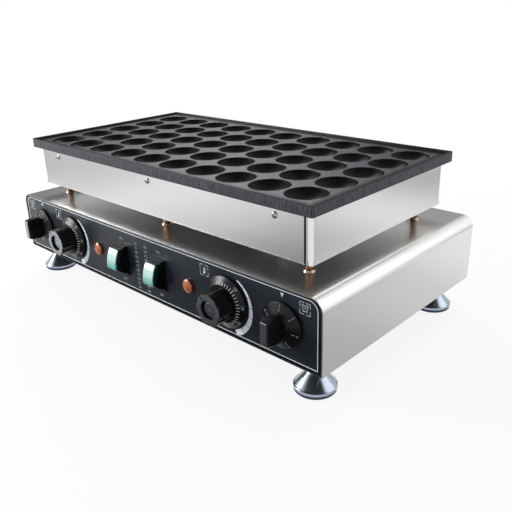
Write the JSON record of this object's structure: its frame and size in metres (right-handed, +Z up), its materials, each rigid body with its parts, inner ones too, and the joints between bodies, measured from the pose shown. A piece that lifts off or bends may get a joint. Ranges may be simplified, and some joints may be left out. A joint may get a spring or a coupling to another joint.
{
  "type": "poffertjes maker",
  "caption": "Countertop griddle with a straight grid of round wells on a heated housing, over a control base with knobs, rocker switches, lamps and adjustable feet.",
  "frame": {"origin": "on the table, under the middle of the griddle plate, which is the middle of the bounding box", "axes": "+X to the right along the long side, +Y to the back, +Z up; the controls face -Y"},
  "size_m": [0.592, 0.3742, 0.212],
  "materials": {
    "griddle_coating": "non-stick coated casting, satin charcoal",
    "bolt_steel": "plain turned steel",
    "element_sheath": "heat-darkened sheath",
    "insulation_fibre": "pressed ceramic fibre",
    "housing_stainless": "brushed stainless sheet",
    "post_brass": "turned brass",
    "wire_sleeve": "woven glass sleeve",
    "sensor_copper": "drawn copper tube",
    "base_stainless": "polished stainless sheet",
    "panel_black": "black painted steel",
    "panel_print": "printed film, slate blue-grey",
    "case_plastic": "moulded heat-resistant plastic",
    "switch_black": "gloss black moulding",
    "lamp_lens": "orange lens",
    "gland_plastic": "black nylon",
    "knob_black": "satin black moulding",
    "knob_button": "dark grey moulding",
    "rocker_green": "pale green clear plastic",
    "foot_chrome": "bright plated",
    "foot_rubber": "dark blue rubber"
  },
  "bodies": {
    "chassis": {"griddle_plate": "griddle_coating", "plate_bolts": "bolt_steel", "element_clamps": "bolt_steel", "cover_screws": "bolt_steel", "base_screws": "bolt_steel", "foot_nuts": "bolt_steel", "wire_conduit": "bolt_steel", "heating_element_left": "element_sheath", "heating_element_right": "element_sheath", "insulation_board": "insulation_fibre", "heater_housing": "housing_stainless", "housing_front_cover": "housing_stainless", "housing_back_cover": "housing_stainless", "standoff_posts": "post_brass", "standoff_collars": "post_brass", "lead_wires": "wire_sleeve", "sensor_bulb_left": "sensor_copper", "sensor_bulb_right": "sensor_copper", "base_shell": "base_stainless", "back_panel": "base_stainless", "bottom_plate": "base_stainless", "control_panel": "panel_black", "panel_overlay": "panel_print", "thermostat_body_left": "case_plastic", "thermostat_body_right": "case_plastic", "timer_body_left": "case_plastic", "timer_body_right": "case_plastic", "terminal_block": "case_plastic", "switch_housing_left": "switch_black", "switch_housing_right": "switch_black", "lamp_left": "lamp_lens", "lamp_right": "lamp_lens", "cable_gland": "gland_plastic", "gland_cap": "gland_plastic", "gland_locknut": "gland_plastic"},
    "thermostat_left": {"thermostat_knob_left": "knob_black", "thermostat_cap_left": "knob_button", "thermostat_shaft_left": "bolt_steel"},
    "thermostat_right": {"thermostat_knob_right": "knob_black", "thermostat_cap_right": "knob_button", "thermostat_shaft_right": "bolt_steel"},
    "timer_left": {"timer_knob_left": "knob_black", "timer_shaft_left": "bolt_steel"},
    "timer_right": {"timer_knob_right": "knob_black", "timer_shaft_right": "bolt_steel"},
    "rocker_left": {"switch_rocker_left": "rocker_green"},
    "rocker_right": {"switch_rocker_right": "rocker_green"},
    "foot_front_left": {"foot_bell_front_left": "foot_chrome", "foot_stem_front_left": "bolt_steel", "foot_pad_front_left": "foot_rubber"},
    "foot_front_right": {"foot_bell_front_right": "foot_chrome", "foot_stem_front_right": "bolt_steel", "foot_pad_front_right": "foot_rubber"},
    "foot_back_left": {"foot_bell_back_left": "foot_chrome", "foot_stem_back_left": "bolt_steel", "foot_pad_back_left": "foot_rubber"},
    "foot_back_right": {"foot_bell_back_right": "foot_chrome", "foot_stem_back_right": "bolt_steel", "foot_pad_back_right": "foot_rubber"}
  },
  "joints": [
    {"name": "thermostat_left_turn", "type": "hinge", "parent": "chassis", "child": "thermostat_left", "pos_m": [-0.161, -0.1571, 0.082], "axis": [0, 1, 0], "range_deg": [0, 300]},
    {"name": "timer_left_turn", "type": "hinge", "parent": "chassis", "child": "timer_left", "pos_m": [-0.244, -0.1571, 0.082], "axis": [0, 1, 0], "range_deg": [0, 330]},
    {"name": "rocker_left_tip", "type": "hinge", "parent": "chassis", "child": "rocker_left", "pos_m": [-0.039, -0.1551, 0.083], "axis": [1, 0, 0], "range_deg": [0, 30]},
    {"name": "thermostat_right_turn", "type": "hinge", "parent": "chassis", "child": "thermostat_right", "pos_m": [0.161, -0.1571, 0.082], "axis": [0, 1, 0], "range_deg": [0, 300]},
    {"name": "timer_right_turn", "type": "hinge", "parent": "chassis", "child": "timer_right", "pos_m": [0.244, -0.1571, 0.082], "axis": [0, 1, 0], "range_deg": [0, 330]},
    {"name": "rocker_right_tip", "type": "hinge", "parent": "chassis", "child": "rocker_right", "pos_m": [0.039, -0.1551, 0.083], "axis": [1, 0, 0], "range_deg": [0, 30]},
    {"name": "foot_front_left_height", "type": "slide", "parent": "chassis", "child": "foot_front_left", "axis": [0, 0, -1], "range_m": [0, 0.012]},
    {"name": "foot_front_right_height", "type": "slide", "parent": "chassis", "child": "foot_front_right", "axis": [0, 0, -1], "range_m": [0, 0.012]},
    {"name": "foot_back_left_height", "type": "slide", "parent": "chassis", "child": "foot_back_left", "axis": [0, 0, -1], "range_m": [0, 0.012]},
    {"name": "foot_back_right_height", "type": "slide", "parent": "chassis", "child": "foot_back_right", "axis": [0, 0, -1], "range_m": [0, 0.012]}
  ]
}
